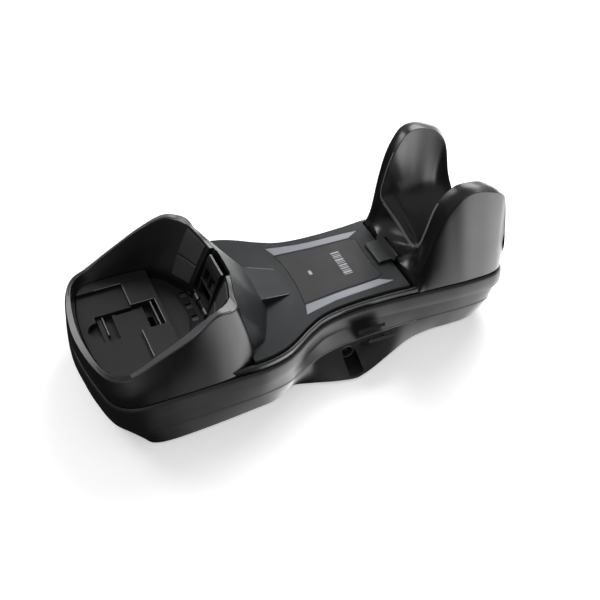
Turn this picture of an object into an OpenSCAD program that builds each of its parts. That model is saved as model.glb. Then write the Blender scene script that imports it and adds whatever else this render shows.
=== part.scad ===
// Charging cradle for a cordless hand-held barcode scanner.
// +X runs along the length towards the saddle end, the cup is at -X, +Z is up.
// The origin is on the standing surface, under the middle of the bounding box.

/* [Body] */
// Thickness of the moulded walls
wall_t = 2.4; // [2.0:0.1:2.8]
// How far the rounded belt stands proud of the parting line
belt_out = 1.4; // [0.8:0.1:1.8]
// Height of the parting line between lower and upper housing
seam_z = 31.8; // [31.6:0.1:32.0]

/* [Contacts] */
// Distance between neighbouring charging contacts
contact_pitch = 10; // [9:0.5:10.5]
// Side of one contact button
contact_size = 3.8; // [3.2:0.1:4.4]
// Travel of a contact button
contact_travel = 1.2; // [0.8:0.1:1.5]

/* [Latch] */
// Radius of the latch pivot pin
pin_r = 1.2; // [1.0:0.05:1.3]
// Half width of the latch lever
latch_half = 9; // [8:0.5:9.5]

/* [Sockets] */
// Radius of the power socket opening
dc_r = 3.2; // [3.0:0.1:3.4]
// Radius of the fixing holes in the base
fix_r = 2.1; // [1.8:0.1:2.4]

/* [Hidden] */
ox = 3.4;       // puts the origin under the middle of the box
floor_z = 0.8;  // underside of the housing above the standing surface
e = 0.01;

module at() translate([ox, 0, 0]) children();

// ---- curve and loft helpers -------------------------------------------
function cr(a, b, c, d, t) = 0.5 * (2 * b + (c - a) * t + (2 * a - 5 * b + 4 * c - d) * t * t
  + (3 * b - a - 3 * c + d) * t * t * t);
function sp(P, n) = [for (i = [0:len(P) - 2]) for (k = [0:n - 1])
  cr(P[max(i - 1, 0)], P[i], P[i + 1], P[min(i + 2, len(P) - 1)], k / n), P[len(P) - 1]];
function mir(H) = concat(H, [for (i = [len(H) - 2:-1:1]) [H[i][0], -H[i][1], H[i][2]]]);
function ring(P, n) = let (S = sp(P, n)) mir([for (i = [0:len(S) - 1])
  (i == 0 || i == len(S) - 1) ? [S[i][0], 0, S[i][2]] : S[i]]);
function atz(L, z) = [for (p = L) [p[0], p[1], z]];
function nrm(L, i) = let (n = len(L), a = L[(i + n - 1) % n], b = L[(i + 1) % n],
  dx = b[0] - a[0], dy = b[1] - a[1], m = sqrt(dx * dx + dy * dy)) [-dy / m, dx / m, 0];
function off(L, d) = [for (i = [0:len(L) - 1]) L[i] + d * nrm(L, i)];
function mix(A, B, t) = [for (i = [0:len(A) - 1]) A[i] * (1 - t) + B[i] * t];
function flat(L) = [for (p = L) [p[0], p[1]]];
function cat(R) = [for (r = R) for (p = r) p];
function band(j, k, n) = [for (i = [0:n - 1]) let (i2 = (i + 1) % n)
  each [[j * n + i, j * n + i2, k * n + i2], [j * n + i, k * n + i2, k * n + i]]];
// closed rings stacked upwards, with flat end caps
module loft(R) {
  n = len(R[0]); m = len(R);
  polyhedron(cat(R), concat([for (j = [0:m - 2]) each band(j, j + 1, n)],
    [[for (i = [n - 1:-1:0]) i]], [[for (i = [0:n - 1]) (m - 1) * n + i]]), 6);
}
// closed rings joined into a torus
module torus(R) {
  n = len(R[0]); m = len(R);
  polyhedron(cat(R), [for (j = [0:m - 1]) each band(j, (j + 1) % m, n)], 6);
}

// ---- outlines of the housing (half, from the nose to the tail) --------
seam_h = [[-125.4,0,0],[-124.6,12,0],[-123,23,0],[-120.8,34,0],[-118.4,42,0],[-113.8,48.2,0],
  [-106,52,0],[-92,52.8,0],[-70,52.8,0],[-48,53,0],[-36,52.6,0],[-25.5,50.2,0],[-17,46,0],
  [-9.9,41.4,0],[-4,38,0],[2,35.2,0],[11,33.2,0],[25,32.2,0],[42,32.4,0],[56,33.4,0],
  [70,34.6,0],[88,36,0],[102,36,0],[109.4,34.4,0],[114.2,29.5,0],[117.2,18,0],[118.6,0,0]];
// top edge of the flared skirt at the waist
skirt_h = [[-124.2,0,0],[-123.4,12,0],[-121.6,23,0],[-119.2,33.6,0],[-116.2,41.2,0],[-111.2,47.2,0],
  [-104.6,51.4,0],[-92,52.6,0],[-70,52.4,0],[-48,52,0],[-36,51.2,0],[-25,49.2,0],[-17,45.4,0],
  [-8.5,41.4,0],[-2,38.8,0],[5,37,0],[13,35.8,0],[27,34.8,0],[42,34.4,0],[56,34.2,0],
  [70,35,0],[88,35.9,0],[100.5,35.6,0],[106.6,33.4,0],[110,27.6,0],[112,16.5,0],[112.8,0,0]];
foot_h = [[-120.6,0,0],[-119.8,12,0],[-117.8,22,0],[-114.6,31,0],[-111,37.4,0],[-105,46.4,0],
  [-101,51.2,0],[-91,53,0],[-70,52.5,0],[-48,51,0],[-34,49.6,0],[-25.5,46,0],[-20,43.4,0],
  [-9,46.4,0],[2,50,0],[12.7,52.4,0],[19,51.4,0],[27,48.6,0],[40,43,0],[54,37.4,0],
  [68,35.3,0],[82,35.7,0],[92.4,35.4,0],[100.2,32.6,0],[103.7,26,0],[105.2,14,0],[105.6,0,0]];
seam = ring(seam_h, 3);
skirt = ring(skirt_h, 3);
foot = ring(foot_h, 3);

// ---- outlines of the cup (half, from the nose to the rear wall) --------
cup_base = [[-125.4,0,0],[-124.6,12,0],[-123,23,0],[-120.8,34,0],[-118.4,42,0],[-113.8,48.2,0],
  [-106,52,0],[-92,52.8,0],[-74,52.8,0],[-60,52.4,0],[-49,50.4,0],[-41,45.4,0],[-46,33,0],[-53,13.5,0],[-53,0,0]];
cup_mid = [[-125.8,0,37],[-125,12,37],[-123.4,22.8,37],[-121.1,33.4,37],[-118.2,41,37.2],[-113.4,46.6,37.6],
  [-105.6,50,39],[-92,50.2,42],[-74,50,46],[-60,49,49],[-49.5,46.6,50],[-43.6,41.6,50],[-46.4,33,50],[-48.4,13.5,50],[-48,0,50]];
rim_out = [[-124.8,0,43.4],[-124,12,43.4],[-122.3,22.6,43.4],[-119.6,32.6,43.4],[-116.6,38.8,43.6],[-112.2,43,44],
  [-104.5,45,45.6],[-92,45.6,52],[-74,46.3,61.2],[-60,44,68.6],[-51,42,67.2],[-47,37.6,66],[-45.6,29,65],[-41.8,13.5,63.6],[-41,0,63.4]];
rim_in = [[-121.5,0,44.6],[-121,11,44.6],[-119.6,21.6,44.6],[-117.4,31.4,44.6],[-114.8,36.4,44.9],[-110.4,40,45.3],
  [-104.5,42,46.6],[-91.5,42.8,54.2],[-74,42.6,63.6],[-61,40.6,68.8],[-54.4,37.2,68.4],[-50.2,33,67.4],[-47.9,28.5,66.8],[-44.1,13.5,64.2],[-43.3,0,63.8]];
cup_in = [[-120.8,0,41],[-120.3,10.8,41],[-118.9,21,41],[-116.6,30.6,41],[-113.8,35.4,41],[-109.6,38.6,41.4],
  [-103.6,39.6,42],[-91.5,39.8,46],[-76,39.4,50],[-66.5,37.2,51.5],[-61.4,34.4,51.5],[-58.4,31.2,51.5],[-56,27,51.5],[-50.8,13.5,51.2],[-50.2,0,51]];
cup_low = [[-119.8,0,0],[-119.3,10.5,0],[-118,20.4,0],[-115.6,29.8,0],[-112.8,34.4,0],[-108.8,37.2,0],
  [-103,38,0],[-91.5,38,0],[-79,37.4,0],[-72,35.6,0],[-67.6,32.6,0],[-65,29.4,0],[-62,23.6,0],[-56.8,13.5,0],[-56,0,0]];
floor_ring = ring(cup_low, 3);

// ---- outlines of the saddle (half, from the middle of the front) -------
// outer edge of the wing face, then its inner edge, then the channel
y_base = [[56.4,0,0],[56.4,12,0],[56.4,22,0],[56.8,29,0],[58.4,33.5,0],[64,34.1,0],[70,34.6,0],[76,35.1,0],[82,35.6,0],
  [88,36,0],[95,36.1,0],[102,36,0],[106.6,35.3,0],[110,34,0],[112.8,31.6,0],[115.2,27,0],[117.2,18,0],[118.6,0,0]];
y_out = [[58,0,38.4],[58,8,38.5],[58.2,15,38.8],[59.4,23.4,38.8],[60.6,29.6,39.4],[63.4,31.6,50],[66.4,33,63],[70.2,34.2,76],[74.4,35,85],
  [80.4,35.9,92.2],[88,36.1,93.8],[97,36,91],[104.6,35,86.8],[108.4,33.6,80],[111,33.4,62],[113.4,32,44],[117.2,20,36.4],[118.6,0,35.4]];
y_in = [[75.2,0,35],[73.2,4.6,39],[70.9,9.7,44.6],[68.4,14.4,49.6],[65.9,19,54.6],[63.9,22.8,58.8],[65.6,24,67],[69,24.2,79],[72.8,24.6,86.4],
  [79.6,26.2,93.8],[87.2,27.1,94.8],[95.4,26.6,92.4],[101.6,25.6,87.6],[105.2,24.2,79],[107,21.4,61],[109.4,14.4,47],[112.6,6.6,38.6],[114,0,35.4]];
// shelf in front of the saddle, then the face of the wing
y_fm = [[66.4,0,37.2],[65.6,6.6,38.7],[64.6,12.8,41.8],[63.3,20,45.6],[62.3,25.8,49.4],[64.6,28,58.8],[67.6,28.6,70.4],[71,29.2,81.4],[74.6,29.8,88.4],
  [80,31.2,93.8],[87.7,31.8,94.9],[96.4,31.4,92.2],[103.6,30.6,87.6],[107.4,29,79.8],[109.6,27.6,61.8],[111.8,23.6,45.6],[115.2,13.6,37.4],[116.6,0,35.6]];
y_mid = [[77,1.2,35],[75.6,4.4,38.2],[74,9.2,43.4],[72.6,13.8,48.4],[71.4,18.2,53.2],[70.8,21.8,57.2],[72,23.2,60],[75,23.6,61],[78,23.8,61],
  [82.4,24,61],[87,24,61],[92,23.8,61],[96.6,23.6,60],[100,23,58],[102.4,20.4,54],[105.4,14,46],[109.4,6.4,38.4],[112,1.2,35.2]];
y_mid2 = [[77.6,.9,34.7],[77,2.8,36.4],[76.4,5.6,39.4],[76,8.4,42.2],[75.6,11,44.8],[75.8,12.6,46.4],[76.8,13,46.8],[78.6,13.2,47],[80.8,13.3,47],
  [84,13.4,47],[87.6,13.4,47],[91.4,13.3,46.8],[95,13.2,46.6],[98,12.8,46],[100.8,11.4,44.2],[103.8,8,40.4],[107,3.6,36.6],[110,.9,35]];
y_low = [[77,.7,34.4],[77.6,1.4,34.4],[78.4,1.8,34.4],[79.2,2,34.4],[80,2,34.4],[81.4,2,34.4],[83,2,34.4],[84.6,2,34.4],[86.4,2,34.4],
  [88.4,2,34.4],[90.6,2,34.4],[93,2,34.4],[95.4,2,34.4],[98,2,34.4],[100.6,2,34.4],[103.4,2,34.4],[106.2,1.4,34.6],[108.6,.7,34.8]];

// ---- ramp of the waist cover: top edge, fold line, foot (half, from the middle) ----
ramp_top = [[-42,0,65.1],[-42.3,7.5,65.1],[-43.2,15,65.4],[-44.8,22,66],[-46.6,28.4,66.9],[-48,34.2,66.6],[-48.2,38.6,61.6],[-51,42.6,56]];
ramp_mid = [[-25.5,0,42.6],[-25.5,7.5,42.6],[-25.6,14.6,42.5],[-28,21,43.1],[-31.2,27.4,44.3],[-34.6,33.2,45.8],[-37.8,37.6,47],[-46.4,42.8,47.6]];
ramp_foot = [[-22.5,0,35.4],[-22.5,7.5,35.4],[-22.8,16.4,35.4],[-25.4,23,35.4],[-28.4,29.8,35.4],[-31.2,35.6,35.4],[-34,39.8,35.4],[-43.6,43.8,35.4]];
cover_z = 37;    // flat top of the waist cover
function both(H) = concat([for (i = [len(H) - 1:-1:1]) [H[i][0], -H[i][1], H[i][2]]], H);
module ramp() {
  T = both(sp(ramp_top, 3)); M = both(sp(ramp_mid, 3)); F = both(sp(ramp_foot, 3));
  loft([for (i = [0:len(T) - 1]) [T[i] - [1.6, 0, 2.8], M[i] - [2, 0, 2.2], F[i] - [2.6, 0, 0], F[i], M[i], T[i]]]);
}
module wedge() loft([[[-27,14.9,35.5],[-6.4,11,35.5],[-6.4,-11,35.5],[-27,-14.9,35.5]],
  [[-27,14.9,42.9],[-6.4,11,36.8],[-6.4,-11,36.8],[-27,-14.9,42.9]]]);

// ---- shared positions ---------------------------------------------------
case_pts = [[-98,43],[-98,-43],[-50,44],[-50,-44],[92,27],[92,-27]];
board_c = [[-50,18],[-50,-18]];
board_pts = [[-14,20],[-14,-20],[48,20],[48,-20]];
feet_pts = [[-96,30],[-96,-30],[-36,34],[-36,-34],[94,13],[94,-13]];
fix_pts = [[-75,22],[-75,-22],[80,22],[80,-22]];
contact_x = -60;
contact_top = 32;
pivot_x = -53.6;
pivot_z = 36;
dc_x = 15;
dc_z = 7.4;
bay_y = 37;
function pad_y(i) = (i - 2.5) * contact_pitch;

// ---- lower housing -------------------------------------------------------
module lower_outer() loft([atz(off(foot, -1.2), floor_z), atz(foot, 2), atz(skirt, 12), atz(off(seam, 0.2), 21),
  atz(off(seam, belt_out - 0.2), 21.6), atz(off(seam, belt_out), 24), atz(off(seam, belt_out - 0.2), 28.6),
  atz(off(seam, 0.7), 30.6), atz(off(seam, -0.2), seam_z - 0.4)]);
module lower_body() color([0.09, 0.09, 0.10]) at() {
  difference() {
    union() {
      difference() {
        lower_outer();
        loft([atz(off(foot, -wall_t - 3), 3.2), atz(off(skirt, -wall_t - 0.4), 12), atz(off(seam, -wall_t), 21),
          atz(off(seam, -wall_t), 40)]);
      }
      // stiffening ring under the parting line
      translate([0, 0, 26]) linear_extrude(5.4) difference() {
        polygon(flat(off(seam, -0.6)));
        polygon(flat(off(seam, -wall_t - 1.45)));
      }
      for (p = case_pts) translate([p[0], p[1], 1.4]) cylinder(h = 19, r = 4.6, $fn = 48);
      for (p = board_pts) translate([p[0], p[1], 2]) cylinder(h = 10.6, r = 3, $fn = 48);
      for (p = fix_pts) translate([p[0], p[1], floor_z]) cylinder(h = 4.2, r = 4.6, $fn = 48);
      for (p = board_c) translate([p[0], p[1], 2]) cylinder(h = 20.2, r = 3, $fn = 48);
      // solid backing of the two cable bays
      intersection() {
        lower_outer();
        for (s = [-1, 1]) scale([1, s, 1]) translate([6, bay_y - 2.2, 1]) cube([37, 25, 15]);
      }
    }
    // screw wells from below
    for (p = case_pts) translate([p[0], p[1], -1]) {
      cylinder(h = 14, r = 3.3, $fn = 48);
      cylinder(h = 30, r = 1.65, $fn = 48);
    }
    for (p = board_pts) translate([p[0], p[1], 6]) cylinder(h = 10, r = 1.05, $fn = 32);
    for (p = board_c) translate([p[0], p[1], 14]) cylinder(h = 10, r = 1.05, $fn = 32);
    for (p = fix_pts) translate([p[0], p[1], -1]) cylinder(h = 8, r = fix_r, $fn = 48);
    for (p = feet_pts) translate([p[0], p[1], floor_z - 1]) cylinder(h = 1.8, r = 6.2, $fn = 48);
    // power socket bay, open to the near side
    translate([dc_x - 4.4, -62, 2.4]) cube([8.8, 62 - bay_y, dc_z - 2.4]);
    translate([dc_x, -bay_y, dc_z]) rotate([90, 0, 0]) cylinder(h = 20, r = 4.4, $fn = 48);
    translate([dc_x, -30, dc_z]) rotate([90, 0, 0]) cylinder(h = 12, r = 3.95, $fn = 48);
    // sloping recess of the service cover, with its cable notch
    translate([23.4, -36.6, 11.6]) rotate([-46, 0, 0]) translate([0, -13, -2.2]) cube([16.6, 12.6, 8]);
    translate([33, -60, -1]) cube([6.6, 14.4, 3.4]);
    // data socket bay on the far side
    translate([8.6, 41.2, -1]) cube([16, 22, 15.2]);
    translate([9.4, 30, 3.2]) cube([14.2, 20, 9.6]);
  }
}

// ---- upper housing: cup, waist frame and saddle -------------------------
module cup_shell() {
  n = 3;
  torus([atz(ring(cup_base, n), seam_z), ring(cup_mid, n), ring(rim_out, n), ring(rim_in, n), ring(cup_in, n),
    atz(ring(cup_low, n), 38), atz(ring(cup_low, n), seam_z)]);
}
module saddle() {
  n = 2;
  B = atz(ring(y_base, n), seam_z);
  O = ring(y_out, n); F = ring(y_fm, n); I = ring(y_in, n);
  M = let (S = sp(y_mid, n)) S; L = let (S = sp(y_low, n)) S;
  h = len(M);           // points along one half
  N = len(B);           // points round a whole ring
  // the inner rows stay apart at the middle, so they are not rings
  K = sp(y_mid2, n);
  function fl(P) = [for (p = P) [p[0], -p[1], p[2]]];
  pts = concat(B, O, F, I, M, fl(M), K, fl(K), L, fl(L));
  iI = 3 * N; m1 = 4 * N; m2 = m1 + h; k1 = m2 + h; k2 = k1 + h; l1 = k2 + h; l2 = l1 + h;
  polyhedron(pts, concat(
    [[for (i = [N - 1:-1:0]) i]],
    band(0, 1, N), band(1, 2, N), band(2, 3, N),
    [for (i = [0:h - 2]) each [[iI + i, iI + i + 1, m1 + i + 1], [iI + i, m1 + i + 1, m1 + i]]],
    [for (i = [0:h - 2]) let (a = (N - i) % N, b = N - i - 1) each
      [[iI + b, iI + a, m2 + i], [iI + b, m2 + i, m2 + i + 1]]],
    [for (q = [[m1, k1], [k1, l1]]) for (i = [0:h - 2]) each
      [[q[0] + i, q[0] + i + 1, q[1] + i + 1], [q[0] + i, q[1] + i + 1, q[1] + i]]],
    [for (q = [[m2, k2], [k2, l2]]) for (i = [0:h - 2]) each
      [[q[0] + i + 1, q[0] + i, q[1] + i], [q[0] + i + 1, q[1] + i, q[1] + i + 1]]],
    [for (i = [0:h - 2]) each [[l1 + i, l1 + i + 1, l2 + i + 1], [l1 + i, l2 + i + 1, l2 + i]]],
    [[iI, m1, k1], [iI, k1, l1], [iI, l1, l2], [iI, l2, k2], [iI, k2, m2]],
    let (z = iI + h - 1) [[z, k1 + h - 1, m1 + h - 1], [z, l1 + h - 1, k1 + h - 1], [z, l2 + h - 1, l1 + h - 1],
      [z, k2 + h - 1, l2 + h - 1], [z, m2 + h - 1, k2 + h - 1]]), 8);
}
module upper_body() color([0.07, 0.07, 0.08]) at() {
  difference() {
    union() {
      cup_shell();
      saddle();
      // frame round the waist
      translate([0, 0, seam_z]) linear_extrude(3.5) difference() {
        polygon(flat(seam));
        polygon(flat(off(seam, -wall_t)));
        translate([-128, -60]) square([66, 120]);
        translate([64, -60]) square([60, 120]);
      }
      // ledge under the cover
      for (s = [-1, 1]) scale([1, s, 1]) translate([0, 0, seam_z]) linear_extrude(3)
        polygon([[-44,50],[-26,48],[-9.9,39.4],[2,33.2],[11,31.2],[25,30.2],[42,30.4],[60,31.4],
          [60,27.6],[42,26.6],[25,26.4],[11,27.4],[2,29.2],[-9.9,35.4],[-26,44],[-44,46]]);
      // screw posts
      for (p = case_pts) translate([p[0], p[1], 20.8]) cylinder(h = 14, r = 4.4, $fn = 48);
      // lugs of the latch pin
      for (s = [-1, 1]) translate([-58, s < 0 ? -17.6 : 13, seam_z]) cube([8.6, 4.6, 8.4]);
    }
    // hollow inside of the cup sides
    for (s = [-1, 1]) scale([1, s, 1]) translate([-96, 0, 0]) rotate([90, 0, 90])
      linear_extrude(26) polygon([[49.6,30],[41.2,30],[41.2,38],[43.4,46],[45.6,46],[48.4,38]]);
    // hollow inside of the wings
    for (s = [-1, 1]) scale([1, s, 1]) translate([0, 33.2, 0]) rotate([90, 0, 0])
      linear_extrude(4) polygon([[69,30],[70.4,60],[75,78],[80,87],[88,89.4],[96,87],[101,80],[104,60],[106,48],[106,38],[102.6,36],[93.4,36],[90,30]]);
    // latch window in the rear wall
    translate([-64, -12.2, 37.8]) cube([26, 24.4, 40]);
    // bores of the latch pin
    translate([pivot_x, 20, pivot_z]) rotate([90, 0, 0]) cylinder(h = 40, r = pin_r + 0.03, $fn = 48);
    // room for the lever round its pivot
    translate([-58.4, -12.4, seam_z - 1]) cube([11, 24.8, 8]);
    // pocket that the lock tab slides into
    translate([50, -9.5, 36.9]) cube([11.4, 19, 4]);
    translate([50, -6.5, 31]) cube([9.6, 13, 8]);
    translate([45, -16.4, 30]) cube([16.2, 32.8, 3.8]);
    // seat of the contact block
    translate([contact_x - 4.3, -23.4, 30]) cube([9.2, 46.8, 2.7]);
    for (i = [1, 4]) translate([contact_x - 2.2, pad_y(i) - 2.2, 31]) cube([4.4, 4.4, 4]);
    // pilot holes
    for (p = case_pts) translate([p[0], p[1], 19]) cylinder(h = 13, r = 1.55, $fn = 48);
  }
}

// ---- matte cover of the waist, with the ramp behind the cup -------------
module bar_shape(g) offset(delta = g) polygon([[-3.3,22.3],[5,21.5],[18,20.3],[31,19.7],[42,19.3],[49.6,23.6],
  [46,24],[36,24.6],[24,25],[13,25.8],[2.4,27.9],[-5.8,29.8]]);
module label_shape(g) offset(delta = g) polygon([[-3.4,21.2],[-2.2,13],[-1.6,6],[-1.6,-6],[-2.2,-13],[-3.4,-21.2],
  [5,-20.4],[18,-19.2],[31,-18.6],[42,-18.2],[45.4,-16.4],[44.6,-8],[44.4,0],[44.6,8],[45.4,16.4],[42,18.2],
  [31,18.6],[18,19.2],[5,20.4]]);
// solid outside of the cup, a little larger, kept clear by the cover
module cup_space(d) loft([atz(off(ring(cup_base, 3), d), 30), atz(off(ring(cup_base, 3), d), seam_z), off(ring(cup_mid, 3), d),
  off(ring(rim_out, 3), d), atz(off(ring(rim_out, 3), d), 80)]);
module top_cover() color([0.23, 0.25, 0.26]) at() {
  difference() {
    union() {
      intersection() {
        translate([0, 0, cover_z - 2.1]) linear_extrude(2.1) polygon(flat(off(seam, -wall_t - 0.25)));
        translate([-43.6, -60, 30]) cube([99.2, 120, 10]);
      }
      ramp();
      wedge();
    }
    cup_space(0.3);
    translate([0, 0, 36.1]) linear_extrude(5) label_shape(0.2);
    for (s = [-1, 1]) scale([1, s, 1]) translate([0, 0, 35.7]) linear_extrude(5) bar_shape(0.2);
    // slot of the lock tab
    translate([48.6, -6.5, 30]) cube([20, 13, 12]);
    translate([45.6, -16.4, 30]) cube([20, 32.8, 4.4]);
    // notch behind the latch bar and window over the lever
    translate([-52, -10.6, 56]) cube([11.9, 21.2, 20]);
  }
}

// ---- floor insert of the cup ---------------------------------------------
module cup_floor() color([0.17, 0.17, 0.18]) at() {
  difference() {
    union() {
      // sides and front, seated in the cup
      intersection() {
        loft([atz(off(floor_ring, -0.35), 34.2), atz(off(floor_ring, -0.35), 40.8)]);
        union() {
          translate([-130, -50, 34]) cube([40, 100, 4.8]);
          translate([-90.2, -50, 34]) cube([15.4, 100, 6.4]);
          translate([-125, 30.4, 34]) cube([50.2, 12, 6.6]);
          translate([-125, -42.4, 34]) cube([50.2, 12, 6.6]);
          intersection() {
            translate([-74.2, -50, 34]) cube([30, 100, 3]);
            translate([-101.6, 0, 33]) cylinder(h = 8, r = 38, $fn = 96);
          }
        }
      }
      // web that joins the slab to the contact floor
      intersection() {
        loft([atz(off(floor_ring, -0.35), 31.9), atz(off(floor_ring, -0.35), 34.3)]);
        translate([-76, -50, 31.9]) cube([32, 100, 2.4]);
      }
      translate([-110, -30, 31.9]) cube([36, 60, 2.4]);
    }
    // pocket with the sliding plate
    translate([-110.4, -8.6, 35.4]) cube([33.2, 20.6, 8]);
    translate([-110.6, 2, 35.4]) cylinder(h = 8, r = 5.6, $fn = 48);
    // slot for the plate's tongue
    translate([-101, -4, 30]) cube([20, 8, 8]);
    // contact opening
    translate([contact_x - 4.2, -24, 31]) cube([9, 48, 1.9]);
    for (i = [1:4]) translate([contact_x - contact_size / 2 - 0.2, pad_y(i) - contact_size / 2 - 0.2, 30])
      cube([contact_size + 0.4, contact_size + 0.4, 8]);
    // room for the latch lever
    translate([-58.6, -12.4, 30]) cube([16, 24.8, 12]);
    for (s = [-1, 1]) translate([-58.6, s < 0 ? -18.2 : 12.4, 30]) cube([16, 5.8, 12]);
  }
  // ribs in the pocket
  translate([-109.6, -8.6, 35.2]) cube([2.4, 20.6, 2]);
  translate([-106.9, -3, 35.2]) cube([0.9, 15, 2.6]);
  translate([-80.2, -8.6, 35.2]) cube([1, 20.6, 4.4]);
}
module floor_slider() color([0.16, 0.16, 0.17]) at() {
  difference() {
    translate([-101.4, -7.8, 35.7]) cube([16.4, 18.6, 2.3]);
    translate([-99.6, 10, 37]) cube([9, 3, 3]);
  }
  translate([-85.6, -7.8, 37.6]) cube([0.9, 18.6, 0.7]);
  translate([-95, -3.4, 32]) cube([8, 6.8, 4]);
  translate([-96, -5, 30.4]) cube([10, 10, 1.3]);
  translate([-93, -3, 31.5]) cube([4, 6, 1]);
}

// ---- trim on the waist -----------------------------------------------------
module label_panel() color([0.26, 0.25, 0.26]) at() translate([0, 0, 36.15]) linear_extrude(0.95) label_shape(0);
module light_bar(s) at() scale([1, s, 1]) translate([0, 0, 35.75]) linear_extrude(1.3) bar_shape(0);
module light_bar_left() color([0.66, 0.67, 0.71]) light_bar(1);
module light_bar_right() color([0.66, 0.67, 0.71]) light_bar(-1);
module lock_tab() color([0.25, 0.25, 0.27]) at() {
  translate([0, 9, 0]) rotate([90, 0, 0]) linear_extrude(18)
    polygon([[47.6,37.5],[47.6,38.5],[48.4,39.2],[57,39.1],[57.6,39.5],[57.6,37.5]]);
  translate([0, 11, 0]) rotate([90, 0, 0]) linear_extrude(22)
    polygon([[55.4,39.05],[57.2,41.9],[58.2,41.9],[58.6,41.4],[58.6,39.5],[57.6,39.45]]);
  translate([49, -6, 33.3]) cube([7, 12, 4.3]);
}
module tab_retainer() color([0.5, 0.5, 0.52]) at() difference() {
  translate([46.4, -15.6, 32.2]) cube([11.2, 31.2, 1.1]);
  translate([52.5, 0, 31]) cylinder(h = 3, r = 1.2, $fn = 32);
}

// ---- scanner latch -----------------------------------------------------------
module latch_lever() color([0.45, 0.45, 0.47]) at() {
  difference() {
    union() {
      translate([0, latch_half, 0]) rotate([90, 0, 0]) linear_extrude(2 * latch_half)
        polygon([[-55.2,37.4],[-53.4,36.6],[-52,37.4],[-45.9,57.6],[-44,59.4],[-44,62.2],[-45.2,62.6],[-47,59.8],[-47.4,58.4]]);
      translate([pivot_x, latch_half, pivot_z]) rotate([90, 0, 0]) cylinder(h = 2 * latch_half, r = 3, $fn = 48);
      translate([-51.2, -latch_half + 0.4, 47.8]) cube([4.4, 2 * latch_half - 0.8, 1.2]);
    }
    translate([pivot_x, 20, pivot_z]) rotate([90, 0, 0]) cylinder(h = 40, r = pin_r + 0.05, $fn = 48);
    translate([-62, -latch_half + 2.2, 40.5]) cube([20, 2 * latch_half - 4.4, 7.4]);
    translate([-62, -latch_half + 2.2, 48.9]) cube([20, latch_half - 2.9, 7.4]);
    translate([-62, 0.7, 48.9]) cube([20, latch_half - 2.9, 7.4]);
    // room for the spring coils
    translate([pivot_x - 3.4, -4, pivot_z - 4]) cube([6.8, 8, 8]);
  }
}
module latch_pin() color([0.75, 0.76, 0.78]) at()
  translate([pivot_x, 17.4, pivot_z]) rotate([90, 0, 0]) cylinder(h = 34.8, r = pin_r, $fn = 48);
module latch_spring() color([0.7, 0.7, 0.72]) at() {
  for (k = [-3:1:3]) translate([pivot_x, k * 0.95, pivot_z]) rotate([90, 0, 0])
    rotate_extrude($fn = 48) translate([2.1, 0]) circle(r = 0.42, $fn = 16);
}

// ---- charging contacts ---------------------------------------------------------
module contact_block() color([0.12, 0.12, 0.13]) at() {
  difference() {
    translate([contact_x - 4, -23, 24]) cube([8.6, 46, 8.4]);
    for (i = [1:4]) {
      translate([contact_x, pad_y(i), 25]) cylinder(h = 6, r = 2.3, $fn = 48);
      translate([contact_x - contact_size / 2 - 0.15, pad_y(i) - contact_size / 2 - 0.15, 30.9])
        cube([contact_size + 0.3, contact_size + 0.3, 3]);
      translate([contact_x, pad_y(i), 23]) cylinder(h = 4, r = 1.2, $fn = 32);
    }
  }
}
module pad(i) at() {
  s = contact_size;
  translate([contact_x - s / 2, pad_y(i) - s / 2, 32.3]) cube([s, s, 1.1]);
  translate([contact_x - 1.5, pad_y(i) - 1.5, 29.6]) cube([3, 3, 2.8]);
}
module contact_pad_1() color([0.62, 0.63, 0.62]) pad(1);
module contact_pad_2() color([0.62, 0.63, 0.62]) pad(2);
module contact_pad_3() color([0.62, 0.63, 0.62]) pad(3);
module contact_pad_4() color([0.62, 0.63, 0.62]) pad(4);
module spring(i) {
  // coil from the floor of the block to the underside of the button
  turns = 4; m = 6; r = 1.55; w = 0.22; z0 = 25.3; z1 = 29.3; N = turns * 12;
  function c(k) = [contact_x + r * cos(k * 30), pad_y(i) + r * sin(k * 30), z0 + (z1 - z0) * k / N];
  P = [for (k = [0:N]) for (q = [0:m - 1]) let (a = k * 30, b = q * 360 / m)
    c(k) + w * [cos(b) * cos(a), cos(b) * sin(a), sin(b)]];
  at() polyhedron(P, concat([[for (q = [0:m - 1]) q]], [[for (q = [m - 1:-1:0]) N * m + q]],
    [for (k = [0:N - 1]) for (q = [0:m - 1]) let (q2 = (q + 1) % m) each
      [[k * m + q, (k + 1) * m + q, (k + 1) * m + q2], [k * m + q, (k + 1) * m + q2, k * m + q2]]]), 6);
}
module contact_spring_1() color([0.8, 0.78, 0.6]) spring(1);
module contact_spring_2() color([0.8, 0.78, 0.6]) spring(2);
module contact_spring_3() color([0.8, 0.78, 0.6]) spring(3);
module contact_spring_4() color([0.8, 0.78, 0.6]) spring(4);

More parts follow.
